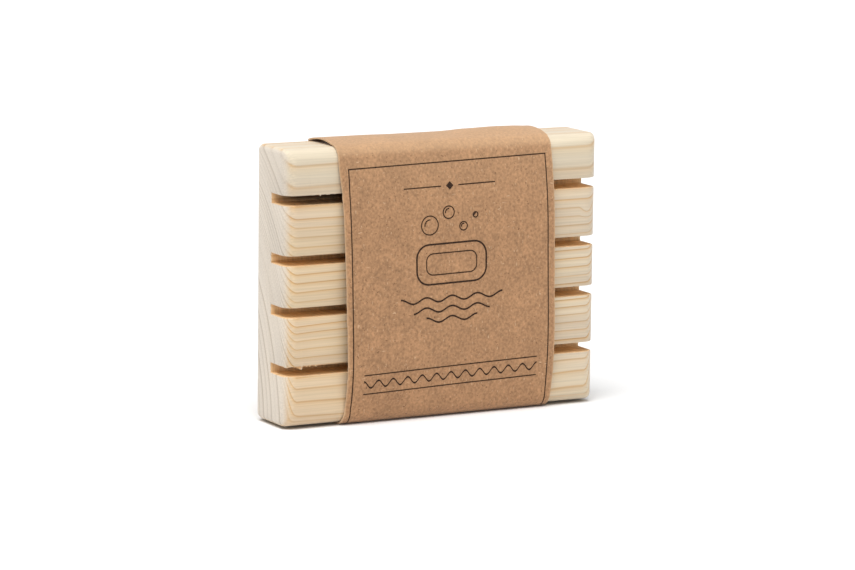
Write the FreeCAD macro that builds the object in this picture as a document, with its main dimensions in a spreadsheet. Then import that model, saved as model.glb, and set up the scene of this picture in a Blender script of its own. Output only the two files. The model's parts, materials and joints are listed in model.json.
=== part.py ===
"""Soap dish: a slotted softwood block in a kraft card sleeve, standing on its long edge.

X runs along the block, the slotted face looks towards -Y, and Z is up.
The origin is on the surface that it stands on, below the middle of the sleeved dish.
"""
import FreeCAD
import Part
import Sketcher
import math
import os

# Driving dimensions in millimetres, and shares without a unit.
SIZES = (
    # The block, as it stands on its long edge.
    ("block_length", 110.0),
    ("block_height", 85.5),
    ("block_thickness", 22.0),
    ("block_edge_radius", 4.0),
    ("block_corner_radius", 1.5),
    # The saw slots run from end to end, and their middles are shares of the block's height.
    ("slot_width", 3.1),
    ("slot_depth", 10.3),
    ("bottom_slot_share", 0.203),
    ("lower_slot_share", 0.415),
    ("upper_slot_share", 0.6015),
    ("top_slot_share", 0.8175),
    ("cut_overrun", 2.0),
    # The card strip goes once round the block, a little off its middle, and laps on the back.
    # Between the bends its top and front stand out, as springy card does, and the front's middle is flat.
    ("card_thickness", 0.5),
    ("sleeve_width", 74.0),
    ("sleeve_shift", 1.2),
    ("sleeve_clearance", 0.3),
    ("top_bow", 1.55),
    ("front_bow", 2.9),
    ("front_flat", 29.0),
    ("lap_length", 16.0),
    ("lap_height_share", 0.3),
    # The glue film in the lap stops short of the card's edges.
    ("glue_thickness", 0.1),
    ("glue_margin", 2.0),
)
SLOT_NAMES = ("bottom_slot", "lower_slot", "upper_slot", "top_slot")

# Lengths that several pieces share, as formulas over the sheet, in the standing block's own frame.
FOOT = "(Sizes.card_thickness + Sizes.sleeve_clearance)"
CARD_MIDDLE = "(Sizes.sleeve_clearance + Sizes.card_thickness / 2)"
CARD_INSIDE = "(Sizes.block_thickness / 2 + Sizes.sleeve_clearance)"
CARD_OUTSIDE = f"({CARD_INSIDE} + Sizes.card_thickness)"
LAP_BOTTOM = "(Sizes.block_height * Sizes.lap_height_share)"
# The sleeve stands out more in front than at the back, and everything sits back by half of the difference.
SET_BACK = "((Sizes.front_bow - Sizes.card_thickness - Sizes.glue_thickness) / 2)"

# How the sketcher numbers a sketch's own origin, the ends of a line or arc, and an arc's centre.
ORIGIN = -1
START = 1
END = 2
CENTRE = 3

# Directions in a sketch.
RIGHT = FreeCAD.Vector(1, 0, 0)
UP = FreeCAD.Vector(0, 1, 0)

# Direction through the block, from its front to its back, and how far off it, in radians, still counts.
THROUGH = FreeCAD.Vector(0, 1, 0)
TURN_TOLERANCE = 1e-6


def fill_sheet(sheet):
    """Put each driving dimension in a cell of its own, with its name as the alias."""
    for row, (name, value) in enumerate(SIZES, start=1):
        sheet.set(f"A{row}", name)
        sheet.set(f"B{row}", str(value))
        sheet.setAlias(f"B{row}", name)
    doc.recompute()


doc = FreeCAD.newDocument("soap_dish")
sizes = doc.addObject("Spreadsheet::Sheet", "Sizes")
fill_sheet(sizes)


def number(formula):
    """Value of a formula over the sheet, so that a sketch is drawn in its place."""
    return float(sizes.evalExpression(formula))


def require(condition, message):
    """Stop the build with a message when something is not as it should be."""
    if not condition:
        raise RuntimeError(message)


def new_body(label, shift_formula, height_formula):
    """A body with its label, shifted along X and lifted by formulas, and set back."""
    body = doc.addObject("PartDesign::Body", label)
    body.Label = label
    body.setExpression("Placement.Base.x", shift_formula)
    body.setExpression("Placement.Base.y", SET_BACK)
    body.setExpression("Placement.Base.z", height_formula)
    return body


def new_sketch(body, name, role, offset_formula="0"):
    """A sketch on one of the body's own origin planes, moved along the plane's normal."""
    sketch = body.newObject("Sketcher::SketchObject", name)
    plane = next(item for item in body.Origin.OriginFeatures if item.Role == role)
    sketch.AttachmentSupport = [(plane, "")]
    sketch.MapMode = "FlatFace"
    sketch.setExpression("AttachmentOffset.Base.z", offset_formula)
    return sketch


def drive(sketch, constraint, name, formula):
    """Add a dimension to a sketch and let the sheet drive it."""
    index = sketch.addConstraint(constraint)
    sketch.renameConstraint(index, name)
    sketch.setExpression(f"Constraints.{name}", formula)


def place_point(sketch, geometry, end, name, across, up):
    """Hold one point of a line or arc at formulas measured from the sketch's origin."""
    for kind, formula in (("DistanceX", across), ("DistanceY", up)):
        constraint = Sketcher.Constraint(kind, ORIGIN, START, geometry, end, number(formula))
        drive(sketch, constraint, f"{name}_{kind}", formula)


def sketch_points(corners):
    """Points of a sketch from pairs of formulas."""
    return [FreeCAD.Vector(number(across), number(up), 0) for across, up in corners]


def add_rectangle(sketch, name, left, right, bottom, top):
    """A level rectangle between four formulas."""
    points = sketch_points(((left, bottom), (right, bottom), (right, top), (left, top)))
    lines = []
    for side, point in enumerate(points):
        lines.append(sketch.addGeometry(Part.LineSegment(points[side - 1], point), False))
        level = "Vertical" if side % 2 == 0 else "Horizontal"
        sketch.addConstraint(Sketcher.Constraint(level, lines[side]))
    for side, line in enumerate(lines):
        sketch.addConstraint(Sketcher.Constraint("Coincident", lines[side - 1], END, line, START))
    place_point(sketch, lines[0], END, f"{name}_low", left, bottom)
    place_point(sketch, lines[2], END, f"{name}_high", right, top)


def edge_names(shape, through):
    """Names of the straight edges that run through the block, or of those that run round its two faces."""
    names = []
    for index, edge in enumerate(shape.Edges, start=1):
        straight = isinstance(edge.Curve, Part.Line)
        if straight and edge.Curve.Direction.isParallel(THROUGH, TURN_TOLERANCE) == through:
            names.append(f"Edge{index}")
    return names


def round_edges(body, name, base, edges, radius_formula):
    """Round some edges of the last shape of a body."""
    rounding = body.newObject("PartDesign::Fillet", name)
    rounding.Base = (base, edges)
    rounding.setExpression("Radius", radius_formula)
    doc.recompute()
    return rounding


def make_wood_block():
    """The block, rounded along its two faces and eased at its corners, with its slots sawn into the front."""
    body = new_body("wood_block", "0", FOOT)
    outline = new_sketch(body, "BlockOutline", "XZ_Plane")
    half_length = "Sizes.block_length / 2"
    add_rectangle(outline, "block", f"-{half_length}", half_length, "0", "Sizes.block_height")
    blank = body.newObject("PartDesign::Pad", "BlockBlank")
    blank.Profile = outline
    blank.SideType = "Symmetric"
    blank.setExpression("Length", "Sizes.block_thickness")
    doc.recompute()

    round_faces = edge_names(blank.Shape, through=False)
    faces = round_edges(body, "FaceRounding", blank, round_faces, "Sizes.block_edge_radius")
    corners = edge_names(faces.Shape, through=True)
    rounding = round_edges(body, "CornerEasing", faces, corners, "Sizes.block_corner_radius")

    # The plane's normal points out of the front, so the pocket cuts back into the block.
    mouths = new_sketch(body, "SlotMouths", "XZ_Plane", "Sizes.block_thickness / 2")
    reach = "(Sizes.block_length / 2 + Sizes.cut_overrun)"
    for name in SLOT_NAMES:
        middle = f"Sizes.block_height * Sizes.{name}_share"
        low = f"{middle} - Sizes.slot_width / 2"
        high = f"{middle} + Sizes.slot_width / 2"
        add_rectangle(mouths, name, f"-{reach}", reach, low, high)
    slots = body.newObject("PartDesign::Pocket", "Slots")
    slots.Profile = mouths
    slots.setExpression("Length", "Sizes.slot_depth")
    doc.recompute()
    require(slots.Shape.Volume < rounding.Shape.Volume, "the slots cut nothing")
    return body


def heading(direction):
    """Angle of a direction in a sketch, from 0 to a full turn."""
    return math.atan2(direction.y, direction.x) % math.tau


def add_arc(path, name, centre, first, last, radius_formula):
    """An arc of the path, anticlockwise from one direction to another, with its driven radius."""
    radius = number(radius_formula)
    circle = Part.Circle(centre, FreeCAD.Vector(0, 0, 1), radius)
    arc = path.addGeometry(Part.ArcOfCircle(circle, heading(first), heading(last)), False)
    drive(path, Sketcher.Constraint("Radius", arc, radius), f"{name}_radius", radius_formula)
    return arc


def draw_strip_path(path):
    """The strip's middle line: up the back, over the top, down the front, under, and up past its start."""
    bend = f"(Sizes.block_edge_radius + {CARD_MIDDLE})"
    inset = "(Sizes.block_thickness / 2 - Sizes.block_edge_radius)"
    lap_inset = f"({inset} + Sizes.card_thickness + Sizes.glue_thickness)"
    low = "Sizes.block_edge_radius"
    high = "(Sizes.block_height - Sizes.block_edge_radius)"
    lap_top = f"({LAP_BOTTOM} + Sizes.lap_length)"
    bend_places = ((inset, high), (f"-{inset}", high), (f"-{inset}", low), (lap_inset, low))
    back_top, front_top, front_bottom, lap_bottom = sketch_points(bend_places)
    start, end = sketch_points(((f"{inset} + {bend}", LAP_BOTTOM), (f"{lap_inset} + {bend}", lap_top)))

    # A bowed panel is a wide arc about a far centre, smooth with the bends at both of its ends.
    # The front has one such arc above its flat middle and one below.
    front_rise = f"(({high} - {low} - Sizes.front_flat) / 2)"
    top_swing = f"({inset}^2 + Sizes.top_bow^2) / (2 * Sizes.top_bow)"
    front_swing = f"({front_rise}^2 + Sizes.front_bow^2) / (2 * Sizes.front_bow)"
    top_centre = (back_top + front_top) / 2 - UP * number(f"{top_swing} - Sizes.top_bow")
    front_set_back = RIGHT * number(f"{front_swing} - Sizes.front_bow")
    upper_centre = front_top + front_set_back - UP * number(front_rise)
    lower_centre = front_bottom + front_set_back + UP * number(front_rise)

    reach = number(bend)
    to_flat = -RIGHT * number(f"{bend} + {front_swing}")
    top_start = back_top - top_centre
    top_end = front_top - top_centre
    front_start = front_top - upper_centre
    front_end = front_bottom - lower_centre
    chain = [
        path.addGeometry(Part.LineSegment(start, back_top + RIGHT * reach), False),
        add_arc(path, "back_top", back_top, RIGHT, top_start, bend),
        add_arc(path, "top", top_centre, top_start, top_end, f"{bend} + {top_swing}"),
        add_arc(path, "front_top", front_top, top_end, front_start, bend),
        add_arc(path, "front_upper", upper_centre, front_start, to_flat, f"{bend} + {front_swing}"),
        path.addGeometry(Part.LineSegment(upper_centre + to_flat, lower_centre + to_flat), False),
        add_arc(path, "front_lower", lower_centre, to_flat, front_end, f"{bend} + {front_swing}"),
        add_arc(path, "front_bottom", front_bottom, front_end, -UP, bend),
        path.addGeometry(Part.LineSegment(front_bottom - UP * reach, lap_bottom - UP * reach), False),
        add_arc(path, "lap_bottom", lap_bottom, -UP, RIGHT, bend),
        path.addGeometry(Part.LineSegment(lap_bottom + RIGHT * reach, end), False),
    ]
    for before, after in zip(chain, chain[1:]):
        path.addConstraint(Sketcher.Constraint("Tangent", before, END, after, START))
    for bend_arc, (across, up) in zip((chain[1], chain[3], chain[7], chain[9]), bend_places):
        place_point(path, bend_arc, CENTRE, f"bend_{bend_arc}", across, up)
    path.addConstraint(Sketcher.Constraint("Vertical", chain[5]))
    flat = Sketcher.Constraint("DistanceY", chain[5], END, chain[5], START, number("Sizes.front_flat"))
    drive(path, flat, "front_flat", "Sizes.front_flat")
    for line, point, height in ((chain[0], START, LAP_BOTTOM), (chain[-1], END, lap_top)):
        path.addConstraint(Sketcher.Constraint("Vertical", line))
        constraint = Sketcher.Constraint("DistanceY", ORIGIN, START, line, point, number(height))
        drive(path, constraint, f"line_{line}_end", height)


def make_kraft_sleeve():
    """The card strip, swept once round the block with its far end lapped over its start."""
    body = new_body("kraft_sleeve", "Sizes.sleeve_shift", FOOT)
    path = new_sketch(body, "StripPath", "YZ_Plane")
    draw_strip_path(path)
    section = new_sketch(body, "StripSection", "XY_Plane", LAP_BOTTOM)
    half_width = "Sizes.sleeve_width / 2"
    add_rectangle(section, "strip", f"-{half_width}", half_width, CARD_INSIDE, CARD_OUTSIDE)
    doc.recompute()
    strip = body.newObject("PartDesign::AdditivePipe", "Strip")
    strip.Profile = section
    strip.Spine = path
    doc.recompute()
    flat_volume = path.Shape.Length * number("Sizes.sleeve_width * Sizes.card_thickness")
    print(f"strip {path.Shape.Length:.2f} mm long, volume {strip.Shape.Volume:.2f} of {flat_volume:.2f} mm3")
    return body


def make_glue_strip():
    """The glue film between the two layers of card in the lap."""
    film = doc.addObject("Part::Box", "glue_strip")
    film.Label = "glue_strip"
    width = "(Sizes.sleeve_width - 2 * Sizes.glue_margin)"
    film.setExpression("Length", width)
    film.setExpression("Width", "Sizes.glue_thickness")
    film.setExpression("Height", "Sizes.lap_length - 2 * Sizes.glue_margin")
    film.setExpression("Placement.Base.x", f"Sizes.sleeve_shift - {width} / 2")
    film.setExpression("Placement.Base.y", f"{SET_BACK} + {CARD_OUTSIDE}")
    film.setExpression("Placement.Base.z", f"{FOOT} + {LAP_BOTTOM} + Sizes.glue_margin")
    return film


def check_document(pieces):
    """Every object is computed without error, and every piece is one sound solid."""
    for item in doc.Objects:
        require("Invalid" not in item.State and "Error" not in item.State, f"{item.Name}: {item.State}")
    for piece in pieces:
        shape = piece.Shape
        require(not shape.isNull() and shape.isValid(), f"{piece.Label}: the shape is not sound")
        require(len(shape.Solids) == 1, f"{piece.Label}: {len(shape.Solids)} solids")


def write_pieces(pieces):
    """One file per piece, named by its label."""
    os.makedirs("parts", exist_ok=True)
    for piece in pieces:
        piece.Shape.exportStep(f"parts/{piece.Label}.step")
        box = piece.Shape.BoundBox
        print(f"{piece.Label}: {piece.Shape.Volume:.1f} mm3,"
              f" X {box.XMin:.2f} to {box.XMax:.2f},"
              f" Y {box.YMin:.2f} to {box.YMax:.2f},"
              f" Z {box.ZMin:.2f} to {box.ZMax:.2f}")


all_pieces = [make_wood_block(), make_kraft_sleeve(), make_glue_strip()]
doc.recompute()
check_document(all_pieces)
write_pieces(all_pieces)
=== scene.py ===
"""Looks of a slotted softwood soap dish in its kraft card sleeve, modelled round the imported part.

X runs along the block, the slotted face looks towards -Y, Z is up, and lengths are in metres.
"""
import json
import math

import bmesh
import bpy
from bpy.props import FloatProperty, FloatVectorProperty, IntProperty, PointerProperty
from bpy.types import Operator, Panel, PropertyGroup
from mathutils import Matrix, Vector, noise

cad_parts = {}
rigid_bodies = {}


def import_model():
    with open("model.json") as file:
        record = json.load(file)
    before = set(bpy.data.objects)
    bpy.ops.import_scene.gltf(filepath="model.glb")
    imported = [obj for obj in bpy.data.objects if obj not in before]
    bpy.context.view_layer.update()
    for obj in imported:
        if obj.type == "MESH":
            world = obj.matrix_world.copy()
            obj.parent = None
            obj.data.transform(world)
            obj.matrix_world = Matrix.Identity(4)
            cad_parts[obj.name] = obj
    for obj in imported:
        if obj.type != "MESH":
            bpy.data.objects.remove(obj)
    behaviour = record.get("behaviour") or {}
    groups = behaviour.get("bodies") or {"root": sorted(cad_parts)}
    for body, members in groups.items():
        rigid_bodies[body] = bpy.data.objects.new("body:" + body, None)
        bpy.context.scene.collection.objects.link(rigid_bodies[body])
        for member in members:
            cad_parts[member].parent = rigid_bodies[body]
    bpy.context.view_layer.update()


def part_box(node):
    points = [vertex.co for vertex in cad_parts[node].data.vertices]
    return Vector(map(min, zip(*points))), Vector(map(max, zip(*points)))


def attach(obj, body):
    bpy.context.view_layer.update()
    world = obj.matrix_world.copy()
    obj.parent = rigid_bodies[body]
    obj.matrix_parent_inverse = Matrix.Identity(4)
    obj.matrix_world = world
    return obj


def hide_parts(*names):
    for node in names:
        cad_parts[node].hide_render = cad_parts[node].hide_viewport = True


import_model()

bl_info = {
    "name": "Soap Dish",
    "version": (1, 0, 0),
    "blender": (4, 5, 0),
    "location": "View3D > Sidebar > Soap Dish",
    "description": "Models a slotted softwood soap dish in its printed kraft card sleeve",
    "category": "Mesh",
}

MM = 0.001
BLOCK_LOW, BLOCK_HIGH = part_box("wood_block")
SLEEVE_LOW, SLEEVE_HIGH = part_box("kraft_sleeve")
GLUE_LOW, GLUE_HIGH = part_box("glue_strip")
BLOCK_MIDDLE = (BLOCK_LOW + BLOCK_HIGH) / 2


def linear(code):
    """Linear red, green, blue and alpha of an sRGB hex colour."""
    shares = [int(code[place:place + 2], 16) / 255 for place in (1, 3, 5)]
    levels = [share / 12.92 if share <= 0.04045 else ((share + 0.055) / 1.055) ** 2.4 for share in shares]
    return (*levels, 1.0)


def length(name, description, millimetres):
    """A length that the user can change, given in millimetres."""
    return FloatProperty(
        name=name, description=description, default=millimetres * MM, unit="LENGTH", precision=5)


def colour(name, description, code):
    """A colour that the user can change, given as an sRGB hex value."""
    return FloatVectorProperty(
        name=name, description=description, default=linear(code), size=4, min=0, max=1, subtype="COLOR")


class BlockSettings(PropertyGroup):
    """Sizes and colours of the block."""
    edge_radius: length("Edge radius", "Rounding of the edges round the front and the back", 4)
    edge_steps: IntProperty(name="Edge steps", description="Faces across a rounded edge", default=8, min=2)
    corner_radius: length("Corner radius", "Easing of the corners, as seen from the front", 1.5)
    corner_steps: IntProperty(
        name="Corner steps", description="Faces across an eased corner", default=4, min=2)
    slot_width: length("Slot width", "Width of the saw cut", 3.1)
    slot_depth: length("Slot depth", "Depth of a slot below the front", 10.3)
    slot_shares: FloatVectorProperty(
        name="Slot shares", description="Middles of the slots, as shares of the block's height",
        default=(0.203, 0.415, 0.6015, 0.8175), size=4, min=0, max=1)
    lip_radius: length("Lip radius", "Easing of the slots' edges by sanding", 0.3)
    lip_step: length("Lip step", "Spacing of the cuts that let a lip be torn", 0.3)
    lip_tear: length("Lip tear", "Depth to which the saw tears the lips", 0.35)
    early_wood: colour("Early wood", "Wide pale part of a growth ring", "#d6c4a8")
    sapwood: colour("Sapwood", "Pale part of the outermost rings", "#d5ccba")
    ring_haze: colour("Ring haze", "Part of a ring that deepens towards its edge", "#d2ae7a")
    late_wood: colour("Late wood", "Narrow dark edge of a growth ring", "#b08448")
    end_early: colour("End grain", "Pale part of a ring where the fibres are cut across", "#d0c4b4")
    end_late: colour("End grain ring", "Dark edge of a ring where the fibres are cut across", "#a4927c")
    sawn_early: colour("Sawn wood", "Pale part of a ring inside a slot", "#f2d0a2")
    sawn_late: colour("Sawn ring", "Dark edge of a ring inside a slot", "#cd9e66")
    # Painted shade: this dark colour stands for the shade deep in the left half of the top slot, not burnt
    # wood.
    painted_slot_shade: colour("Scorch", "Wood that the saw has burnt", "#3a1a0a")


class SleeveSettings(PropertyGroup):
    """Sizes and colours of the card sleeve."""
    card_thickness: length("Card thickness", "Thickness of the card", 0.495)
    clearance: length("Clearance", "Room between the block and the card", 0.3)
    top_bow: length("Top bow", "How far the top panel stands out in its middle", 0.95)
    front_bow: length("Front bow", "How far the front panel stands out in its middle", 2.4)
    front_flat: length("Front flat", "Height of the flat middle of the front panel", 29)
    lean: FloatProperty(
        name="Lean", description="Turn of the sleeve on the block", default=math.radians(1.2),
        unit="ROTATION")
    curl_width: length("Curl width", "Width of the left margin that curls back", 2.4)
    curl_depth: length("Curl depth", "How far the left margin curls back", 0.6)
    fray: length("Fray", "Unevenness of the cut edges", 0.12)
    kraft: colour("Kraft", "Unbleached card", "#a9805c")
    pale_fibre: colour("Pale fibre", "Light fibres in the card", "#d2b08c")
    dark_fibre: colour("Dark fibre", "Bark specks and dark fibres in the card", "#6d4c33")
    # This pale colour is also painted on the card's top as painted light.
    cut_edge_and_top_light: colour("Cut edge", "Fibres bared along the cut edges", "#cdab86")
    dried_glue: colour("Dried glue", "Film of glue in the lap", "#ebe3cc")


class PrintSettings(PropertyGroup):
    """Sizes and colours of the print on the sleeve's front."""
    border_left: length("Border left", "Place of the border's left line", -33.97)
    border_right: length("Border right", "Place of the border's right line", 35.45)
    border_top: length("Border top", "Height of the border's top line", 80.5)
    fine_line: length("Fine line", "Width of the border and of the fine lines", 0.35)
    bold_line: length("Bold line", "Width of the bold lines", 0.55)
    ink: colour("Ink", "Dark brown printing ink", "#2c1d14")


class StageSettings(PropertyGroup):
    """Camera, light and floor."""
    azimuth: FloatProperty(
        name="Azimuth", description="Camera's turn about the dish", default=math.radians(-28.66),
        unit="ROTATION")
    elevation: FloatProperty(
        name="Elevation", description="Camera's height above the horizon", default=math.radians(9.24),
        unit="ROTATION")
    roll: FloatProperty(name="Roll", description="Camera's tilt", default=math.radians(0.71), unit="ROTATION")
    distance: length("Distance", "From the camera to the middle of the block", 1203.7)
    aim_drop: length("Aim drop", "How far below the middle of the block the camera aims", 3.6)
    focal_length: FloatProperty(name="Focal length", description="In millimetres", default=162.3)
    floor: colour("Floor", "Plain pale floor", "#efefef")
    fill_light: FloatProperty(name="Fill light", description="Even light from all round", default=0.39, min=0)
    lamp_strength: FloatProperty(
        name="Lamp strength", description="Light of the overhead lamp", default=3.4, min=0)
    lamp_width: FloatProperty(
        name="Lamp width", description="Angle over which the lamp spreads", default=math.radians(50),
        unit="ROTATION")
    lamp_direction: FloatVectorProperty(
        name="Lamp direction", description="From the dish towards the lamp", default=(-0.26, -0.26, 0.95),
        subtype="DIRECTION")


class BuildError(RuntimeError):
    """A step that found nothing to work on."""


def start_fresh():
    """Leave edit mode and select nothing."""
    if bpy.context.object and bpy.context.object.mode != "OBJECT":
        bpy.ops.object.mode_set(mode="OBJECT")
    bpy.ops.object.select_all(action="DESELECT")


def name_new(name):
    """Name the object that was just added and put its place into its mesh."""
    piece = bpy.context.object
    piece.name = piece.data.name = name
    bpy.ops.object.transform_apply(location=True, rotation=True, scale=True)
    return piece


def edit(piece):
    """Take a piece alone into edit mode."""
    start_fresh()
    bpy.context.view_layer.objects.active = piece
    piece.select_set(True)
    bpy.ops.object.mode_set(mode="EDIT")


def pick(piece, kind, test):
    """Select the vertices, edges or faces, in edit mode, that pass a test."""
    bpy.ops.mesh.select_mode(type=kind)
    bpy.ops.mesh.select_all(action="DESELECT")
    mesh = bmesh.from_edit_mesh(piece.data)
    mesh.normal_update()
    items = {"VERT": mesh.verts, "EDGE": mesh.edges, "FACE": mesh.faces}[kind]
    found = [item for item in items if test(item)]
    for item in found:
        item.select_set(True)
    mesh.select_flush_mode()
    bmesh.update_edit_mesh(piece.data)
    if not found:
        raise BuildError(f"{piece.name}: no {kind.lower()} to work on")


def slice_across(piece, axis, places):
    """Cut the whole mesh, in edit mode, square to an axis at each place."""
    normal = Vector((0, 0, 0))
    normal[axis] = 1
    for place in places:
        bpy.ops.mesh.select_all(action="SELECT")
        bpy.ops.mesh.bisect(plane_co=normal * place, plane_no=normal)


def steps_between(low, high, step):
    """Evenly spaced places strictly between two limits, about one step apart."""
    count = max(1, round((high - low) / step))
    return [low + (high - low) * index / count for index in range(1, count)]


def finish_modifier(piece, kind, **settings):
    """Add a modifier with its settings and apply it."""
    start_fresh()
    bpy.context.view_layer.objects.active = piece
    piece.select_set(True)
    modifier = piece.modifiers.new(kind.title(), kind)
    for name, value in settings.items():
        setattr(modifier, name, value)
    bpy.ops.object.modifier_apply(modifier=modifier.name)


def smooth(piece, angle):
    """Shade a piece smooth except across edges sharper than an angle."""
    start_fresh()
    bpy.context.view_layer.objects.active = piece
    piece.select_set(True)
    bpy.ops.object.shade_smooth_by_angle(angle=angle)


def ease(share):
    """Smooth step from 0 to 1."""
    share = min(1.0, max(0.0, share))
    return share * share * (3 - 2 * share)


def between(points, place):
    """Value at a place on a smooth line through a few points, which run upwards."""
    if place <= points[0][0]:
        return points[0][1]
    for (low, first), (high, last) in zip(points, points[1:]):
        if place <= high:
            return first + (last - first) * ease((place - low) / (high - low))
    return points[-1][1]


def ripple(*place):
    """Fixed smooth noise from -1 to 1 at a place of up to three numbers."""
    return noise.noise(Vector((*place, 0, 0)[:3]))


def node(tree, kind, inputs=None, stops=None, points=None, **settings):
    """Add a node with its settings, its ramp's stops or curve's points, and link or set its inputs."""
    made = tree.nodes.new(kind)
    for name, value in settings.items():
        setattr(made, name, value)
    for key, value in (inputs or {}).items():
        if isinstance(value, bpy.types.Node):
            value = value.outputs[0]
        if isinstance(value, bpy.types.NodeSocket):
            tree.links.new(value, made.inputs[key])
        else:
            made.inputs[key].default_value = value
    for index, (place, shade) in enumerate(stops or ()):
        ramp = made.color_ramp.elements
        stop = ramp[index] if index < 2 else ramp.new(place)
        stop.position = place
        stop.color = shade
    for index, (place, value) in enumerate(points or ()):
        curve = made.mapping.curves[0].points
        point = curve[index] if index < 2 else curve.new(place, value)
        point.location = (place, value)
        point.handle_type = "VECTOR"
    if points:
        made.mapping.update()
    return made


def mix(tree, share, first, second):
    """Colour between two others, by a share from 0 to 1."""
    return node(tree, "ShaderNodeMix", {0: share, 6: first, 7: second}, data_type="RGBA").outputs[2]


def tint(tree, shade, light):
    """Colour multiplied by a grey level or another colour."""
    return node(tree, "ShaderNodeMix", {0: 1.0, 6: shade, 7: light},
                data_type="RGBA", blend_type="MULTIPLY").outputs[2]


def new_material(name):
    """An empty node material with its output."""
    material = bpy.data.materials.new(name)
    material.use_nodes = True
    material.node_tree.nodes.clear()
    tree = material.node_tree
    return material, tree, tree.nodes.new("ShaderNodeOutputMaterial").inputs


# Growth rings: place of the pith, and how many rings lie inside a distance from it, in millimetres.
PITH = (0.0, 85.0 + BLOCK_MIDDLE.y / MM, -6.5)
RING_COUNTS = ((72, 12), (96, 21), (98.5, 24.6), (104, 31.2), (107, 34), (111, 37), (114.5, 39.5),
               (120.7, 43.4), (124.5, 44.6), (129, 45.6), (136, 47.2))
BOARD_FIBRE_MM = (30.0, 0.45, 0.45)
RING_DRIFT_MM = (80.0, 26.0, 26.0)
RING_DRIFT = 0.7
RING_SLOPE = 0.006
# Depth of a ring's soft haze and of its dark edge, by the share of the year that has passed.
RING_HAZE = ((0.0, 0.3), (0.1, 0.05), (0.45, 0.06), (0.75, 0.5), (0.9, 1.0), (1.0, 0.6))
RING_EDGE = ((0.0, 0.5), (0.06, 0.0), (0.86, 0.0), (0.94, 1.0), (1.0, 0.8))
# Where the rings turn pale, a pin knot's place, reach and push, and the lowest height of the painted shade in
# the top slot.
PALE_FROM = 116.0
KNOT = (51.0, 0.0, 62.0)
KNOT_REACH = 3.5
KNOT_PUSH = 0.9
PAINTED_SHADE_FROM = 69.3


def in_millimetres(tree):
    """Place on the piece in millimetres."""
    place = node(tree, "ShaderNodeTexCoord").outputs["Object"]
    return node(tree, "ShaderNodeVectorMath", {0: place, "Scale": 1 / MM}, operation="SCALE")


def stretched_noise(tree, place, size, detail):
    """Noise whose grains have a size in millimetres along each axis."""
    scaled = node(tree, "ShaderNodeVectorMath", {0: place, 1: size}, operation="DIVIDE")
    return node(tree, "ShaderNodeTexNoise", {"Vector": scaled, "Scale": 1.0, "Detail": detail})


def growth_rings(tree, place):
    """Depth of a ring's haze and of its dark edge at a place, from 0 to 1, and distance from the pith."""
    from_pith = node(tree, "ShaderNodeVectorMath", {0: place, 1: PITH}, operation="SUBTRACT")
    square = node(tree, "ShaderNodeVectorMath", {0: from_pith, 1: (0, 1, 1)}, operation="MULTIPLY")
    radius = node(tree, "ShaderNodeVectorMath", {0: square}, operation="LENGTH").outputs["Value"]
    drift = stretched_noise(tree, place, RING_DRIFT_MM, 1.5)
    drift = node(tree, "ShaderNodeMapRange", {0: drift, 3: -RING_DRIFT, 4: RING_DRIFT})
    radius = node(tree, "ShaderNodeMath", {0: drift, 1: radius}, operation="ADD")
    along = node(tree, "ShaderNodeSeparateXYZ", {0: place}).outputs["X"]
    radius = node(tree, "ShaderNodeMath", {0: along, 1: -RING_SLOPE, 2: radius}, operation="MULTIPLY_ADD")
    # A pin knot pushes the rings aside.
    flat = node(tree, "ShaderNodeVectorMath", {0: place, 1: (1, 0, 1)}, operation="MULTIPLY")
    off_knot = node(tree, "ShaderNodeVectorMath", {0: flat, 1: KNOT}, operation="DISTANCE").outputs["Value"]
    push = node(tree, "ShaderNodeMapRange", {0: off_knot, 2: KNOT_REACH, 3: KNOT_PUSH, 4: 0.0},
                interpolation_type="SMOOTHSTEP")
    radius = node(tree, "ShaderNodeMath", {0: radius, 1: push}, operation="ADD")

    first, last = RING_COUNTS[0], RING_COUNTS[-1]
    share = node(tree, "ShaderNodeMapRange", {0: radius, 1: first[0], 2: last[0]})
    points = [((mm - first[0]) / (last[0] - first[0]), count / last[1]) for mm, count in RING_COUNTS]
    count = node(tree, "ShaderNodeFloatCurve", {"Value": share}, points=points)
    count = node(tree, "ShaderNodeMath", {0: count, 1: last[1]}, operation="MULTIPLY")
    within = node(tree, "ShaderNodeMath", {0: count}, operation="FRACT")
    year = node(tree, "ShaderNodeMath", {0: count}, operation="FLOOR")
    strength = node(tree, "ShaderNodeTexWhiteNoise", {"W": year}, noise_dimensions="1D").outputs["Value"]
    strength = node(tree, "ShaderNodeMapRange", {0: strength, 3: 0.25, 4: 1.0})
    # The outermost rings are wide and faint.
    outer = node(tree, "ShaderNodeMapRange", {0: radius, 1: PALE_FROM, 2: last[0], 3: 1.0, 4: 0.35})
    strength = node(tree, "ShaderNodeMath", {0: strength, 1: outer}, operation="MULTIPLY")
    curves = [node(tree, "ShaderNodeFloatCurve", {"Value": within}, points=shape)
              for shape in (RING_HAZE, RING_EDGE)]
    haze, edge = (node(tree, "ShaderNodeMath", {0: curve, 1: strength}, operation="MULTIPLY")
                  for curve in curves)
    return haze, edge, radius


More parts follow.
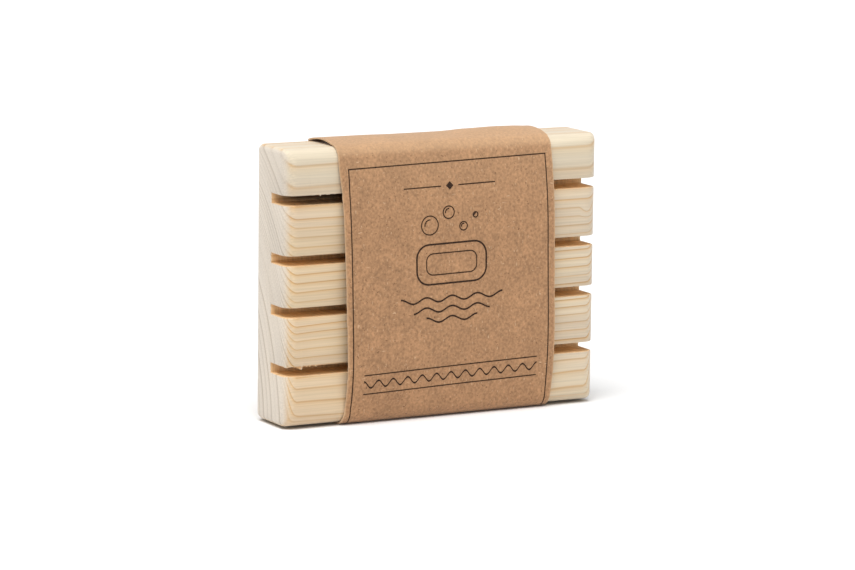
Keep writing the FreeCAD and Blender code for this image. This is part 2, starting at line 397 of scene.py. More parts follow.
def planed_softwood(look):
    """Spruce or pine board, planed and sanded, with no finish.

    It shows pale early wood, thin orange late-wood lines, a silky streak along the fibres, and paler,
    greyer end grain with a fine speckle of cut cells.
    """
    material, tree, output = new_material("planed_softwood")
    place = in_millimetres(tree)
    haze, edge, radius = growth_rings(tree, place)
    # The outermost rings are paler and less yellow, and so is the board towards its right end.
    outer = node(tree, "ShaderNodeMapRange", {0: radius, 1: PALE_FROM, 2: PALE_FROM + 12.0})
    along = node(tree, "ShaderNodeSeparateXYZ", {0: place}).outputs["X"]
    right = node(tree, "ShaderNodeMapRange", {0: along, 1: 20.0, 2: 50.0, 4: 0.8})
    pale = node(tree, "ShaderNodeMath", {0: outer, 1: right}, operation="MAXIMUM")
    early = mix(tree, pale, look.early_wood, look.sapwood)
    facing = node(tree, "ShaderNodeTexCoord").outputs["Normal"]
    facing = node(tree, "ShaderNodeSeparateXYZ", {0: facing}).outputs["X"]
    facing = node(tree, "ShaderNodeMath", {0: facing}, operation="ABSOLUTE")
    # Where an end rounds over, the fibres are cut at a slant and the rings glow deeper.
    slant = node(tree, "ShaderNodeMapRange", {0: facing, 1: 0.1, 2: 0.6, 3: 1.0, 4: 1.8})
    glow = node(tree, "ShaderNodeMath", {0: haze, 1: slant}, operation="MULTIPLY", use_clamp=True)
    along_grain = mix(tree, glow, early, look.ring_haze)
    along_grain = mix(tree, edge, along_grain, look.late_wood)
    fibre = stretched_noise(tree, place, BOARD_FIBRE_MM, 3.0)
    streak = node(tree, "ShaderNodeMapRange", {0: fibre, 1: 0.3, 2: 0.7, 3: 0.9, 4: 1.08})
    cloud = stretched_noise(tree, place, (45.0, 14.0, 14.0), 2.0)
    warmth = node(tree, "ShaderNodeValToRGB", {0: cloud}, stops=(
        (0.3, linear("#f4ece6")), (0.7, linear("#fffaf0"))))
    along_grain = tint(tree, tint(tree, along_grain, streak), warmth)

    # The cut cells are drawn several times too coarse, so that they show.
    cells = stretched_noise(tree, place, (0.5, 0.5, 0.5), 2.0)
    speckle = node(tree, "ShaderNodeMapRange", {0: cells, 1: 0.3, 2: 0.7, 3: 0.9, 4: 1.08})
    ring = node(tree, "ShaderNodeMath", {0: haze, 1: 1.3}, operation="POWER")
    across_grain = tint(tree, mix(tree, ring, look.end_early, look.end_late), speckle)

    at_end = node(tree, "ShaderNodeMapRange", {0: facing, 1: 0.45, 2: 0.95}, interpolation_type="SMOOTHSTEP")
    shade = mix(tree, at_end, along_grain, across_grain)

    rough = node(tree, "ShaderNodeMapRange", {0: fibre, 1: 0.3, 2: 0.7, 3: 0.52, 4: 0.68})
    relief = node(tree, "ShaderNodeMix", {0: at_end, 2: fibre, 3: cells}, data_type="FLOAT")
    bump = node(tree, "ShaderNodeBump", {"Height": relief, "Strength": 0.25, "Distance": 0.08 * MM})
    shader = node(tree, "ShaderNodeBsdfPrincipled", {
        "Base Color": shade, "Roughness": rough, "Normal": bump, "IOR": 1.5, "Specular IOR Level": 0.5,
        "Sheen Weight": 0.3, "Sheen Roughness": 0.5})
    tree.links.new(shader.outputs[0], output["Surface"])
    return material


def sawn_softwood(look):
    """The same board where a circular saw went through: darker and rougher, with painted shade deep in the
    top slot.

    It shows the rings faintly under the marks that the teeth leave up the walls of the slots.
    """
    material, tree, output = new_material("sawn_softwood")
    place = in_millimetres(tree)
    haze, _, _ = growth_rings(tree, place)
    shade = mix(tree, haze, look.sawn_early, look.sawn_late)
    marks = stretched_noise(tree, place, (0.8, 8.0, 8.0), 3.0)
    marked = node(tree, "ShaderNodeMapRange", {0: marks, 1: 0.3, 2: 0.7, 3: 0.82, 4: 1.1})
    shade = tint(tree, shade, marked)
    # Painted shade darkens the left half of the top slot, apart from the slot's mouth and its lower wall.
    where = node(tree, "ShaderNodeSeparateXYZ", {0: place})
    upper = node(tree, "ShaderNodeMapRange", {0: where.outputs["Z"], 1: PAINTED_SHADE_FROM, 2: PAINTED_SHADE_FROM + 0.8})
    left = node(tree, "ShaderNodeMapRange", {0: where.outputs["X"], 1: 10.0, 2: -30.0, 4: 0.8})
    inside = node(tree, "ShaderNodeMapRange", {0: where.outputs["X"], 1: -55.0, 2: -47.0})
    painted_slot_shade = node(tree, "ShaderNodeMath", {0: upper, 1: left}, operation="MULTIPLY")
    painted_slot_shade = node(tree, "ShaderNodeMath", {0: painted_slot_shade, 1: inside}, operation="MULTIPLY")
    shade = mix(tree, painted_slot_shade, shade, look.painted_slot_shade)
    bump = node(tree, "ShaderNodeBump", {"Height": marks, "Strength": 0.5, "Distance": 0.15 * MM})
    shader = node(tree, "ShaderNodeBsdfPrincipled", {
        "Base Color": shade, "Roughness": 0.85, "Normal": bump, "IOR": 1.5, "Specular IOR Level": 0.2})
    tree.links.new(shader.outputs[0], output["Surface"])
    return material


def kraft_card(look, name, base):
    """Unbleached kraft card, pressed and uncoated, dull and faintly fibrous.

    It shows a fine grain of pulp in soft clouds, pale fibres, a few dark specks of bark, and paler fibres
    bared along the cut edges, with the same pale colour painted on the top as painted light.
    """
    material, tree, output = new_material(name)
    place = in_millimetres(tree)
    clouds = stretched_noise(tree, place, (7.0, 7.0, 7.0), 3.0)
    # The grain of the pulp is drawn about four times too coarse, so that it shows.
    pulp = stretched_noise(tree, place, (0.8, 0.8, 0.9), 3.0)
    clouded = node(tree, "ShaderNodeMapRange", {0: clouds, 1: 0.3, 2: 0.7, 3: 0.91, 4: 1.08})
    mottled = node(tree, "ShaderNodeMapRange", {0: pulp, 1: 0.25, 2: 0.75, 3: 0.7, 4: 1.3})
    light = node(tree, "ShaderNodeMath", {0: clouded, 1: mottled}, operation="MULTIPLY")
    shade = tint(tree, base, light)
    # Fibres lie every way in the sheet, so two sets cross. They are drawn thicker than real ones.
    fibres = (((1.8, 0.5, 0.4), 0.72, look.pale_fibre),
              ((0.4, 0.6, 1.8), 0.7, look.pale_fibre),
              ((0.8, 0.5, 0.8), 0.69, look.dark_fibre))
    for size, level, fibre in fibres:
        strands = stretched_noise(tree, place, size, 1.0)
        share = node(tree, "ShaderNodeMapRange", {0: strands, 1: level, 2: level + 0.06, 4: 0.75})
        shade = mix(tree, share, shade, fibre)
    # Pale fibres along the cut edges, and painted light on the faces that point up.
    bared = node(tree, "ShaderNodeAttribute", attribute_name="bared").outputs["Fac"]
    shade = mix(tree, bared, shade, look.cut_edge_and_top_light)
    bump = node(tree, "ShaderNodeBump", {"Height": pulp, "Strength": 0.35, "Distance": 0.06 * MM})
    shader = node(tree, "ShaderNodeBsdfPrincipled", {
        "Base Color": shade, "Roughness": 0.85, "Normal": bump, "IOR": 1.45, "Specular IOR Level": 0.3,
        "Sheen Weight": 0.2, "Sheen Roughness": 0.5})
    tree.links.new(shader.outputs[0], output["Surface"])
    return material


def printing_ink(look):
    """Dark brown ink, soaked into the card, so it is matte and lets a little of the fibre through."""
    material, tree, output = new_material("printing_ink")
    place = in_millimetres(tree)
    soak = stretched_noise(tree, place, (0.5, 0.5, 0.5), 2.0)
    share = node(tree, "ShaderNodeMapRange", {0: soak, 1: 0.45, 2: 0.75, 4: 0.35})
    shade = mix(tree, share, look.ink, linear("#6b4c36"))
    shader = node(tree, "ShaderNodeBsdfPrincipled", {
        "Base Color": shade, "Roughness": 0.75, "IOR": 1.45, "Specular IOR Level": 0.2})
    tree.links.new(shader.outputs[0], output["Surface"])
    return material


def dried_adhesive(look):
    """White craft glue, dried in a thin film: cloudy, off-white and slightly glossy."""
    material, tree, output = new_material("dried_adhesive")
    place = in_millimetres(tree)
    film = stretched_noise(tree, place, (3.0, 3.0, 3.0), 3.0)
    shade = mix(tree, film, look.dried_glue, linear("#d8ccab"))
    rough = node(tree, "ShaderNodeMapRange", {0: film, 3: 0.3, 4: 0.5})
    shader = node(tree, "ShaderNodeBsdfPrincipled", {
        "Base Color": shade, "Roughness": rough, "IOR": 1.47, "Subsurface Weight": 0.2})
    tree.links.new(shader.outputs[0], output["Surface"])
    return material


def add_cuboid(name, low, high):
    """A cuboid between two corners."""
    start_fresh()
    bpy.ops.mesh.primitive_cube_add(size=1, location=(low + high) / 2, scale=high - low)
    return name_new(name)


def saw_slots(block, sizes):
    """Cut the slots into the front, from end to end, and give their walls the second material."""
    overrun = Vector((sizes.slot_width,) * 3)
    for share in sizes.slot_shares:
        middle = BLOCK_LOW.z + share * (BLOCK_HIGH.z - BLOCK_LOW.z)
        low = Vector((BLOCK_LOW.x, BLOCK_LOW.y, middle - sizes.slot_width / 2)) - overrun * Vector((1, 1, 0))
        high = Vector((BLOCK_HIGH.x, BLOCK_LOW.y + sizes.slot_depth, middle + sizes.slot_width / 2))
        blade = add_cuboid("saw_blade", low, high + overrun * Vector((1, 0, 0)))
        blade.data.materials.append(block.data.materials[1])
        finish_modifier(block, "BOOLEAN", operation="DIFFERENCE", object=blade, solver="EXACT",
                        material_mode="TRANSFER")
        bpy.data.objects.remove(blade)


def runs_through(edge):
    """True for an edge that runs from the front of the block to its back."""
    run = edge.verts[1].co - edge.verts[0].co
    return abs(run.y) > 0.99 * run.length


def at_corner(edge):
    """True for an edge where the roundings of an end and of the top or bottom meet."""
    half = BLOCK_HIGH - BLOCK_MIDDLE
    ends = [vert.co - BLOCK_MIDDLE for vert in edge.verts]
    places = (*ends, (ends[0] + ends[1]) / 2)
    return all(abs(abs(place.x) - half.x - abs(place.z) + half.z) < MM / 100 for place in places)


def on_lip(edge):
    """True for an edge where the wall of a slot meets the outside of the block."""
    return len({face.material_index for face in edge.link_faces}) == 2


# Fuzz on the lips: slot from the bottom, upper or lower lip, its start and end along X and its longest
# fibre, in millimetres. Then how much more or less the saw tore each slot's lips.
FUZZ = ((0, 1, -55, -40, 1.9), (0, -1, -54.6, -51, 1.0), (3, 1, -48, -36, 0.8))
LIP_WEAR = (1.3, 0.7, 0.7, 1.1)


def tear(sizes, slot, lip, along):
    """How far a lip is torn away, or hangs down if negative, at a place along a slot."""
    place = along / MM
    rag = ripple(place / 2.3, slot * 7.1, lip) + 0.7 * ripple(place / 0.8, slot * 3.7, lip) - 0.2
    depth = sizes.lip_tear * LIP_WEAR[slot] * max(0.0, rag) * (1.0 if lip > 0 else 0.5)
    for where, side, first, last, longest in FUZZ:
        if (where, side) == (slot, lip) and first < place < last:
            fibres = ripple(place / 0.55, slot * 5.3, lip) + 0.7 * ripple(place / 0.27, slot, lip) - 0.1
            fade = ease((place - first) / 0.8) * ease((last - place) / 6)
            depth -= longest * MM * max(0.0, fibres) * fade
    return depth


def tear_lips(block, sizes):
    """Chip and splinter the lips, where the saw came out of the wood."""
    mesh = bmesh.new()
    mesh.from_mesh(block.data)
    mesh.normal_update()
    reach = sizes.lip_radius * 1.01
    moves = {}
    for slot, share in enumerate(sizes.slot_shares):
        middle = BLOCK_LOW.z + share * (BLOCK_HIGH.z - BLOCK_LOW.z)
        for lip in (-1, 1):
            level = middle + lip * sizes.slot_width / 2
            for face in mesh.faces:
                if all(abs(vert.co.z - level) < reach for vert in face.verts):
                    inward = Vector((-face.normal.x, -face.normal.y, 0)).normalized()
                    for vert in face.verts:
                        depth = tear(sizes, slot, lip, vert.co.x)
                        aside = abs(vert.co.z - level) / sizes.lip_radius if depth > 0 else 1.0
                        back = 1 - aside
                        moves[vert] = Vector((0, 0, lip * depth * aside)) + inward * depth * back
    for vert, move in moves.items():
        vert.co += move
    mesh.to_mesh(block.data)
    mesh.free()


class SOAPDISH_OT_block(Operator):
    """Model the slotted block: a rounded board with four saw slots, whose lips the saw has torn"""
    bl_idname = "soap_dish.block"
    bl_label = "Slotted block"

    def execute(self, context):
        sizes = context.scene.soap_dish_block
        block = add_cuboid("slotted_block", BLOCK_LOW, BLOCK_HIGH)
        block.data.materials.append(planed_softwood(sizes))
        block.data.materials.append(sawn_softwood(sizes))
        edit(block)
        pick(block, "EDGE", lambda edge: not runs_through(edge))
        bpy.ops.mesh.bevel(offset=sizes.edge_radius, segments=sizes.edge_steps, affect="EDGES")
        pick(block, "EDGE", at_corner)
        bpy.ops.mesh.bevel(offset=sizes.corner_radius, segments=sizes.corner_steps, affect="EDGES")
        saw_slots(block, sizes)

        edit(block)
        pick(block, "EDGE", on_lip)
        bpy.ops.mesh.bevel(offset=sizes.lip_radius, segments=2, affect="EDGES", material=0)
        slice_across(block, 0, steps_between(BLOCK_LOW.x, BLOCK_HIGH.x, sizes.lip_step))
        bpy.ops.object.mode_set(mode="OBJECT")
        tear_lips(block, sizes)
        smooth(block, math.radians(40))
        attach(block, "block")
        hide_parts("wood_block")
        return {"FINISHED"}


def card_middle(sizes):
    """Distance from the block to the middle of the card's thickness."""
    return sizes.clearance + sizes.card_thickness / 2


def bow_circle(half_chord, bow):
    """Distance of a bowed panel's centre from its bends' centres, and half the angle that it spans."""
    reach = (half_chord ** 2 + bow ** 2) / (2 * bow)
    return reach, math.asin(half_chord / reach)


def stand_off(sizes, place):
    """How far a place on the card stands out beyond a tight wrap."""
    tight = card_middle(sizes)
    return max(0.0, BLOCK_LOW.y - tight - place.y, place.z - BLOCK_HIGH.z - tight)


# How far each cut edge wanders from a straight cut, by height, in millimetres.
LEFT_CUT = ((0, -0.4), (4, 0.25), (12, 0.5), (24, 0.5), (38, 0.25), (60, 0.05), (70, -0.1), (82, -1.0))
RIGHT_CUT = ((0.5, -1.1), (6, -0.75), (12, -0.55), (85, -0.4))
# How much further than its middle the front's left side stands out, by height, and how the top's bow
# changes along it, in millimetres.
LEFT_BULGE = ((4, 0), (8, 0.55), (16, 0.7), (26, 0.4), (43, 0.25), (52, 0.05), (60, -0.3), (70, -0.45),
              (82, 0))
TOP_WAVE = ((-22, 0), (-6, -0.45), (6, -0.35), (15, 0.35), (25, 0.55), (32, 0.4), (38, 0.1))
CUT_REACH = 12 * MM
# Share of the pale edge colour painted on the top as painted light, and the cut edges' share and its width.
PAINTED_TOP_LIGHT = 0.38
BARED = 0.6
BARED_WIDTH = 0.55 * MM
# Depth of the card's slight waves, and their size along each axis.
WAVE_DEPTH = 0.08 * MM
WAVE_SIZE = (17 * MM, 9 * MM, 17 * MM)


def wander(place, outward):
    """How far the cut edges pull a place on the card along the block."""
    height = (place.z - BLOCK_LOW.z) / MM
    left = between(LEFT_CUT, height) * ease(1 - (place.x - SLEEVE_LOW.x) / CUT_REACH)
    right = between(RIGHT_CUT, height) * ease(1 - (SLEEVE_HIGH.x - place.x) / CUT_REACH)
    return (left + right) * MM * (1.0 if outward.y < 0.5 else 0.4)


def drape(sizes, place, outward):
    """Move a place on the ideal wrap to where the curled and leaning card really lies."""
    from_left = place.x - SLEEVE_LOW.x
    along = -math.tan(sizes.lean) * (place.z - BLOCK_MIDDLE.z)
    slack = stand_off(sizes, place)
    curl = max(0.0, 1 - from_left / sizes.curl_width) ** 2 * max(0.0, -outward.y)
    inward = min(sizes.curl_depth, 0.8 * slack) * curl
    height = (place.z - BLOCK_LOW.z) / MM
    leftness = ease((BLOCK_HIGH.x / 4 - place.x) / (BLOCK_HIGH.x / 2 - SLEEVE_LOW.x))
    bulge = between(LEFT_BULGE, height) * leftness * max(0.0, -outward.y)
    crest = max(0.0, place.z - BLOCK_HIGH.z - card_middle(sizes)) / sizes.top_bow
    bulge += between(TOP_WAVE, place.x / MM) * crest
    waves = ripple(*(part / size for part, size in zip(place, WAVE_SIZE)))
    uneven = WAVE_DEPTH * ease(slack / (0.5 * MM)) * waves
    return place + Vector((along, 0, 0)) + outward * (uneven - inward + bulge * MM)


def spin_edge(turns):
    """Sweep the selected edge, in edit mode, round one centre after another."""
    for y, z, angle, steps in turns:
        bpy.ops.mesh.spin(steps=steps, angle=angle, center=(0, y, z), axis=(-1, 0, 0))


def pull_edge(y, z, steps):
    """Draw the selected edge out, in edit mode, in even steps."""
    for _ in range(steps):
        bpy.ops.mesh.extrude_region_move(TRANSFORM_OT_translate={"value": (0, y / steps, z / steps)})


class SOAPDISH_OT_sleeve(Operator):
    """Model the card sleeve: a strip of kraft card wrapped round the block and lapped on its back"""
    bl_idname = "soap_dish.sleeve"
    bl_label = "Card sleeve"

    def execute(self, context):
        sizes = context.scene.soap_dish_sleeve
        radius = context.scene.soap_dish_block.edge_radius
        sleeve = self.wrap(sizes, radius)
        edit(sleeve)
        margin = 4 * MM
        slice_across(sleeve, 0, steps_between(SLEEVE_LOW.x + margin, SLEEVE_HIGH.x - margin, 2 * MM))
        slice_across(sleeve, 0, steps_between(SLEEVE_LOW.x, SLEEVE_LOW.x + margin + MM / 2, MM / 2))
        slice_across(sleeve, 0, steps_between(SLEEVE_HIGH.x - margin - MM / 2, SLEEVE_HIGH.x, MM / 2))
        bpy.ops.object.mode_set(mode="OBJECT")
        self.settle(sleeve, sizes)
        sleeve.data.materials.append(kraft_card(sizes, "kraft_card", sizes.kraft))
        sleeve.data.materials.append(kraft_card(sizes, "cut_kraft_card", sizes.cut_edge_and_top_light))
        finish_modifier(sleeve, "SOLIDIFY", thickness=sizes.card_thickness, offset=0, use_even_offset=True,
                        use_rim=True, material_offset_rim=1)
        smooth(sleeve, math.radians(40))
        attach(sleeve, "sleeve")
        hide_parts("kraft_sleeve")
        return {"FINISHED"}

    def wrap(self, sizes, radius):
        """Draw the middle of the card, from the inner end of the lap over the top to its outer end."""
        tight = card_middle(sizes)
        bend = radius + tight
        low = BLOCK_LOW + Vector((radius,) * 3)
        high = BLOCK_HIGH - Vector((radius,) * 3)
        middle = (SLEEVE_LOW + SLEEVE_HIGH) / 2
        inner_end = GLUE_LOW.z - 2 * MM
        outer_end = GLUE_HIGH.z + 2 * MM
        start_fresh()
        bpy.ops.mesh.primitive_plane_add(size=1, location=(middle.x, high.y + bend, (inner_end + high.z) / 2),
                                         rotation=(-math.pi / 2, 0, 0))
        bpy.context.object.scale = (SLEEVE_HIGH.x - SLEEVE_LOW.x, high.z - inner_end, 1)
        sleeve = name_new("card_sleeve")
        edit(sleeve)
        slice_across(sleeve, 2, steps_between(inner_end, high.z, 0.8 * MM))
        pick(sleeve, "EDGE", lambda edge: all(vert.co.z > high.z - MM / 100 for vert in edge.verts))

        top_reach, top_half = bow_circle((high.y - low.y) / 2, sizes.top_bow)
        rise = (high.z - low.z - sizes.front_flat) / 2
        front_reach, front_half = bow_circle(rise, sizes.front_bow)
        front_centre = low.y + front_reach - sizes.front_bow
        quarter = math.pi / 2
        spin_edge(((high.y, high.z, quarter - top_half, 10),
                   (BLOCK_MIDDLE.y, high.z - top_reach + sizes.top_bow, 2 * top_half, 20),
                   (low.y, high.z, quarter - top_half - front_half, 10),
                   (front_centre, high.z - rise, front_half, 30)))
        pull_edge(0, -sizes.front_flat, 36)
        spin_edge(((front_centre, low.z + rise, front_half, 30),
                   (low.y, low.z, quarter - front_half, 12)))
        outer = GLUE_HIGH.y + sizes.card_thickness / 2
        heel = outer - bend
        pull_edge(heel - low.y, 0, 18)
        spin_edge(((heel, low.z, quarter, 12),))
        pull_edge(0, outer_end - low.z, 46)
        bpy.ops.mesh.select_all(action="SELECT")
        bpy.ops.mesh.remove_doubles(threshold=MM / 100)
        bpy.ops.mesh.select_all(action="SELECT")
        bpy.ops.mesh.normals_make_consistent(inside=False)
        return sleeve

    def settle(self, sleeve, sizes):
        """Lean the card, curl its left margin, fray its cut edges and paint its top paler as painted light.
        """
        mesh = bmesh.new()
        mesh.from_mesh(sleeve.data)
        mesh.normal_update()
        bared = mesh.verts.layers.float.new("bared")
        edges = {vert: (vert.co.x < SLEEVE_LOW.x + MM / 100, vert.co.x > SLEEVE_HIGH.x - MM / 100)
                 for vert in mesh.verts}
        moved = {}
        for vert in mesh.verts:
            outward = Vector((0, vert.normal.y, vert.normal.z)).normalized()
            moved[vert] = drape(sizes, vert.co, outward) + Vector((wander(vert.co, outward), 0, 0))
            if any(edges[vert]):
                place = vert.co / MM
                fine = ripple(place.y / 0.9, place.z / 0.9, place.x)
                coarse = ripple(place.y / 3, place.z / 3, place.x)
                moved[vert].x += sizes.fray * (fine + 0.6 * coarse)
        for vert, place in moved.items():
            from_cut = min(vert.co.x - SLEEVE_LOW.x, SLEEVE_HIGH.x - vert.co.x)
            # Pale cut edges, and painted light on the faces that point up.
            vert[bared] = max(BARED * (1 - from_cut / BARED_WIDTH), PAINTED_TOP_LIGHT * ease(vert.normal.z / 0.6))
            vert.co = place
        mesh.to_mesh(sleeve.data)
        mesh.free()


def front_at(sizes, radius, height):
    """Place on the middle of the card's front, and its outward direction, by height along the card."""
    bend = radius + card_middle(sizes)
    heel = BLOCK_LOW + Vector((radius,) * 3)
    reach, half = bow_circle(BLOCK_MIDDLE.z - heel.z - sizes.front_flat / 2, sizes.front_bow)
    start = heel.z - bend * math.sin(half)
    if height >= start:
        up = height - BLOCK_MIDDLE.z
        past_flat = math.copysign(max(0.0, abs(up) - sizes.front_flat / 2), up)
        arm = Vector((0, -math.sqrt((reach + bend) ** 2 - past_flat ** 2), past_flat))
        return Vector((0, heel.y + reach - sizes.front_bow, height - past_flat)) + arm, arm.normalized()
    turn = min(half + (start - height) / bend, math.pi / 2)
    outward = Vector((0, -math.cos(turn), -math.sin(turn)))
    return heel + outward * bend, outward


UPRIGHT = (math.pi / 2, 0, 0)
PRINT_MIDDLE = 0.75 * MM


def draw_plate(middle, size, corner=0.0):
    """A flat filled rectangle on the drawing sheet, with rounded corners if asked."""
    start_fresh()
    bpy.ops.mesh.primitive_plane_add(size=1, location=(middle[0], 0, middle[1]), rotation=UPRIGHT)
    bpy.context.object.scale = (size[0], size[1], 1)
    plate = name_new("print_shape")
    if corner:
        edit(plate)
        pick(plate, "VERT", lambda vert: True)
        bpy.ops.mesh.bevel(offset=corner, segments=8, affect="VERTICES")
        bpy.ops.object.mode_set(mode="OBJECT")
    return plate


def draw_disc(middle, radius, sides=40):
    """A flat filled disc on the drawing sheet, or a diamond if it has four sides."""
    start_fresh()
    bpy.ops.mesh.primitive_circle_add(vertices=sides, radius=radius, fill_type="NGON",
                                      location=(middle[0], 0, middle[1]), rotation=UPRIGHT)
    return name_new("print_shape")


def outline(shape, line):
    """Keep only a line round the rim of a filled shape."""
    edit(shape)
    pick(shape, "FACE", lambda face: True)
    bpy.ops.mesh.inset(thickness=line, depth=0)
    bpy.ops.mesh.delete(type="FACE")
    bpy.ops.object.mode_set(mode="OBJECT")
    return shape


def draw_wave(middle, width, line, rise, waves):
    """A wavy line on the drawing sheet."""
    strip = draw_plate(middle, (width, line))
    edit(strip)
    slice_across(strip, 0, steps_between(middle[0] - width / 2, middle[0] + width / 2, width / waves / 16))
    bpy.ops.object.mode_set(mode="OBJECT")
    for vert in strip.data.vertices:
        vert.co.z += rise * math.cos((vert.co.x - middle[0]) / width * waves * 2 * math.pi)
    return strip


class SOAPDISH_OT_print(Operator):
    """Draw the print flat, lay it on the card's front and give it the thickness of ink"""
    bl_idname = "soap_dish.print"
    bl_label = "Sleeve print"

    def execute(self, context):
        sizes = context.scene.soap_dish_print
        shapes = [self.draw_border(sizes), *self.draw_soap(sizes), *self.draw_bands(sizes)]
        start_fresh()
        for shape in shapes:
            shape.select_set(True)
        bpy.context.view_layer.objects.active = shapes[0]
        bpy.ops.object.join()
        sheet = bpy.context.object
        sheet.name = sheet.data.name = "sleeve_print"
        edit(sheet)
        slice_across(sheet, 0, steps_between(sizes.border_left, sizes.border_right, 2 * MM))
        slice_across(sheet, 2, steps_between(8 * MM, sizes.border_top, 2 * MM))
        slice_across(sheet, 2, steps_between(-MM, 8 * MM, MM / 2))
        bpy.ops.object.mode_set(mode="OBJECT")
        self.lay(sheet, context.scene)
        sheet.data.materials.append(printing_ink(sizes))
        finish_modifier(sheet, "SOLIDIFY", thickness=0.02 * MM, offset=1, use_even_offset=True, use_rim=True)
        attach(sheet, "sleeve")
        return {"FINISHED"}

    def draw_border(self, sizes):
        """A fine line round the front, whose sides run on under the bottom bend."""
        low, high = -0.9 * MM, sizes.border_top
        middle = ((sizes.border_left + sizes.border_right) / 2, (low + high) / 2)
        size = (sizes.border_right - sizes.border_left, high - low)
        border = outline(draw_plate(middle, size), sizes.fine_line)
        edit(border)
        pick(border, "FACE", lambda face: all(vert.co.z < low + 2 * sizes.fine_line for vert in face.verts))
        bpy.ops.mesh.delete(type="FACE")
        bpy.ops.object.mode_set(mode="OBJECT")
        return border

    def draw_soap(self, sizes):
        """A bar of soap on the water, with bubbles over it."""
        middle = PRINT_MIDDLE
        yield outline(draw_plate((middle, 49 * MM), (25 * MM, 13 * MM), 4.5 * MM), sizes.bold_line)
        yield outline(draw_plate((middle, 49 * MM), (18 * MM, 7 * MM), 2.5 * MM), sizes.fine_line)
        for x, z, radius in ((-7.5, 61.2, 3.1), (-0.8, 64.8, 2.1), (4.3, 60.2, 1.5), (8.6, 63.4, 1.0)):
            yield outline(draw_disc((middle + x * MM, z * MM), radius * MM), sizes.fine_line)
            yield self.draw_glint((middle + x * MM, z * MM), 0.62 * radius * MM, sizes.fine_line)
        for z, width, waves in ((38, 36, 4), (34.8, 27, 3), (31.6, 18, 2)):
            yield draw_wave((middle, z * MM), width * MM, sizes.bold_line, 0.8 * MM, waves)

    def draw_glint(self, middle, radius, line):
        """A short arc in the upper left of a bubble."""
        glint = outline(draw_disc(middle, radius), line)
        edit(glint)
        centre = Vector((middle[0] - radius / 2, 0, middle[1] + radius / 2))
        pick(glint, "FACE", lambda face: (face.calc_center_median() - centre).length > 0.75 * radius)
        bpy.ops.mesh.delete(type="FACE")
        bpy.ops.object.mode_set(mode="OBJECT")
        return glint

    def draw_bands(self, sizes):
        """A divided rule near the top and a band of waves along the bottom."""
        middle = PRINT_MIDDLE
        yield draw_disc((middle, 73 * MM), 1.3 * MM, 4)
        for side in (-1, 1):
            yield draw_plate((middle + side * 9.5 * MM, 73 * MM), (13 * MM, sizes.fine_line))
        width = sizes.border_right - sizes.border_left - 8 * MM
        for z in (16.5, 10.5):
            yield draw_plate((middle, z * MM), (width, sizes.fine_line))
        yield draw_wave((middle, 13.5 * MM), width, sizes.bold_line, 1.1 * MM, 12)

    def lay(self, sheet, scene):
        """Bend the flat sheet on to the front of the card."""
        card = scene.soap_dish_sleeve
        lift = card.card_thickness / 2 + 0.03 * MM
        for vert in sheet.data.vertices:
            height = vert.co.z + math.tan(card.lean) * (vert.co.x - PRINT_MIDDLE)
            place, outward = front_at(card, scene.soap_dish_block.edge_radius, height)
            place.x = vert.co.x
            vert.co = drape(card, place, outward) + outward * lift


class SOAPDISH_OT_glue(Operator):
    """Give the film of glue in the lap its material"""
    bl_idname = "soap_dish.glue"
    bl_label = "Glue strip"

    def execute(self, context):
        films = [piece for piece in bpy.data.objects
                 if piece.name.startswith("glue_strip") and piece.type == "MESH"]
        if not films:
            raise BuildError("the glue strip is missing from the frame")
        material = dried_adhesive(context.scene.soap_dish_sleeve)
        for film in films:
            film.data.materials.clear()
            film.data.materials.append(material)
        return {"FINISHED"}


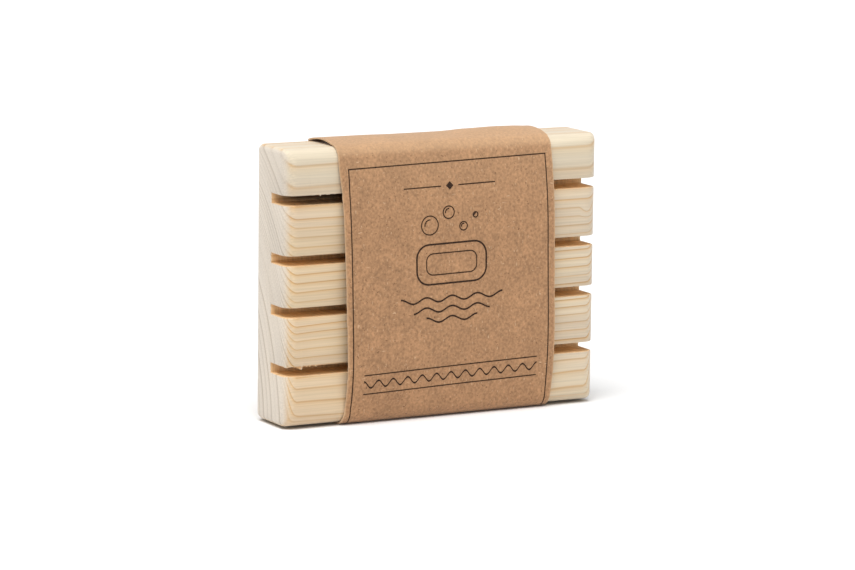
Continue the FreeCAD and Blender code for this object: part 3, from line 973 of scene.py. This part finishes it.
class SOAPDISH_OT_stage(Operator):
    """Set up the pale floor, the soft light and the camera"""
    bl_idname = "soap_dish.stage"
    bl_label = "Stage"

    def execute(self, context):
        sizes = context.scene.soap_dish_stage
        self.lay_floor(sizes)
        self.light_world(context.scene, sizes)
        self.hang_lamp(sizes)
        self.place_camera(context.scene, sizes)
        context.scene.view_settings.view_transform = "Standard"
        return {"FINISHED"}

    def lay_floor(self, sizes):
        """A wide floor, so pale under the light that only the shadow of the dish shows on it."""
        start_fresh()
        bpy.ops.mesh.primitive_plane_add(size=40)
        floor = name_new("floor")
        material, tree, output = new_material("pale_floor")
        paint = node(tree, "ShaderNodeBsdfDiffuse", {"Color": sizes.floor})
        tree.links.new(paint.outputs[0], output["Surface"])
        floor.data.materials.append(material)

    def light_world(self, scene, sizes):
        """Even white light from all round, which the camera sees and glossy surfaces mirror as white."""
        world = bpy.data.worlds.new("studio")
        world.use_nodes = True
        tree = world.node_tree
        tree.nodes.clear()
        path = node(tree, "ShaderNodeLightPath").outputs
        seen = node(tree, "ShaderNodeMath", {0: path["Is Camera Ray"], 1: path["Is Glossy Ray"]},
                    operation="MAXIMUM")
        light = node(tree, "ShaderNodeMapRange", {0: seen, 3: sizes.fill_light, 4: 1.2})
        sky = node(tree, "ShaderNodeBackground", {"Color": (1, 1, 1, 1), "Strength": light})
        tree.links.new(sky.outputs[0], tree.nodes.new("ShaderNodeOutputWorld").inputs["Surface"])
        scene.world = world

    def hang_lamp(self, sizes):
        """A far, wide lamp overhead, a little to the left and in front."""
        start_fresh()
        bpy.ops.object.light_add(type="SUN", location=sizes.lamp_direction)
        lamp = bpy.context.object
        lamp.name = "overhead"
        lamp.data.energy = sizes.lamp_strength
        lamp.data.angle = sizes.lamp_width
        lamp.rotation_euler = Vector(sizes.lamp_direction).to_track_quat("Z", "Y").to_euler()

    def place_camera(self, scene, sizes):
        """A long lens at the photograph's angle."""
        start_fresh()
        bpy.ops.object.camera_add()
        camera = bpy.context.object
        right = Vector((math.cos(sizes.azimuth), math.sin(sizes.azimuth), 0))
        level = math.cos(sizes.elevation)
        back = Vector((right.y * level, -right.x * level, math.sin(sizes.elevation)))
        place = BLOCK_MIDDLE + back * sizes.distance
        upright = back.cross(right)
        away = (back * sizes.distance + upright * sizes.aim_drop).normalized()
        turn = Matrix.Rotation(sizes.roll, 3, away)
        right = turn @ right
        axes = Matrix((right, away.cross(right), away)).transposed()
        camera.matrix_world = Matrix.Translation(place) @ axes.to_4x4()
        camera.data.lens = sizes.focal_length
        camera.data.clip_end = 20
        scene.camera = camera


class SOAPDISH_PT_panel(Panel):
    """The steps that make the soap dish, in order"""
    bl_idname = "SOAPDISH_PT_panel"
    bl_label = "Soap Dish"
    bl_space_type = "VIEW_3D"
    bl_region_type = "UI"
    bl_category = "Soap Dish"

    def draw(self, context):
        for step in STEPS:
            self.layout.operator(step.bl_idname)


SETTINGS = {
    "soap_dish_block": BlockSettings,
    "soap_dish_sleeve": SleeveSettings,
    "soap_dish_print": PrintSettings,
    "soap_dish_stage": StageSettings,
}
STEPS = (SOAPDISH_OT_block, SOAPDISH_OT_sleeve, SOAPDISH_OT_print, SOAPDISH_OT_glue, SOAPDISH_OT_stage)


def register():
    for kind in (*SETTINGS.values(), *STEPS, SOAPDISH_PT_panel):
        bpy.utils.register_class(kind)
    for name, kind in SETTINGS.items():
        setattr(bpy.types.Scene, name, PointerProperty(type=kind))


def unregister():
    for name in SETTINGS:
        delattr(bpy.types.Scene, name)
    for kind in reversed((*SETTINGS.values(), *STEPS, SOAPDISH_PT_panel)):
        bpy.utils.unregister_class(kind)


def main():
    register()
    bpy.ops.soap_dish.block()
    bpy.ops.soap_dish.sleeve()
    bpy.ops.soap_dish.print()
    bpy.ops.soap_dish.glue()
    bpy.ops.soap_dish.stage()


if __name__ == "__main__":
    main()
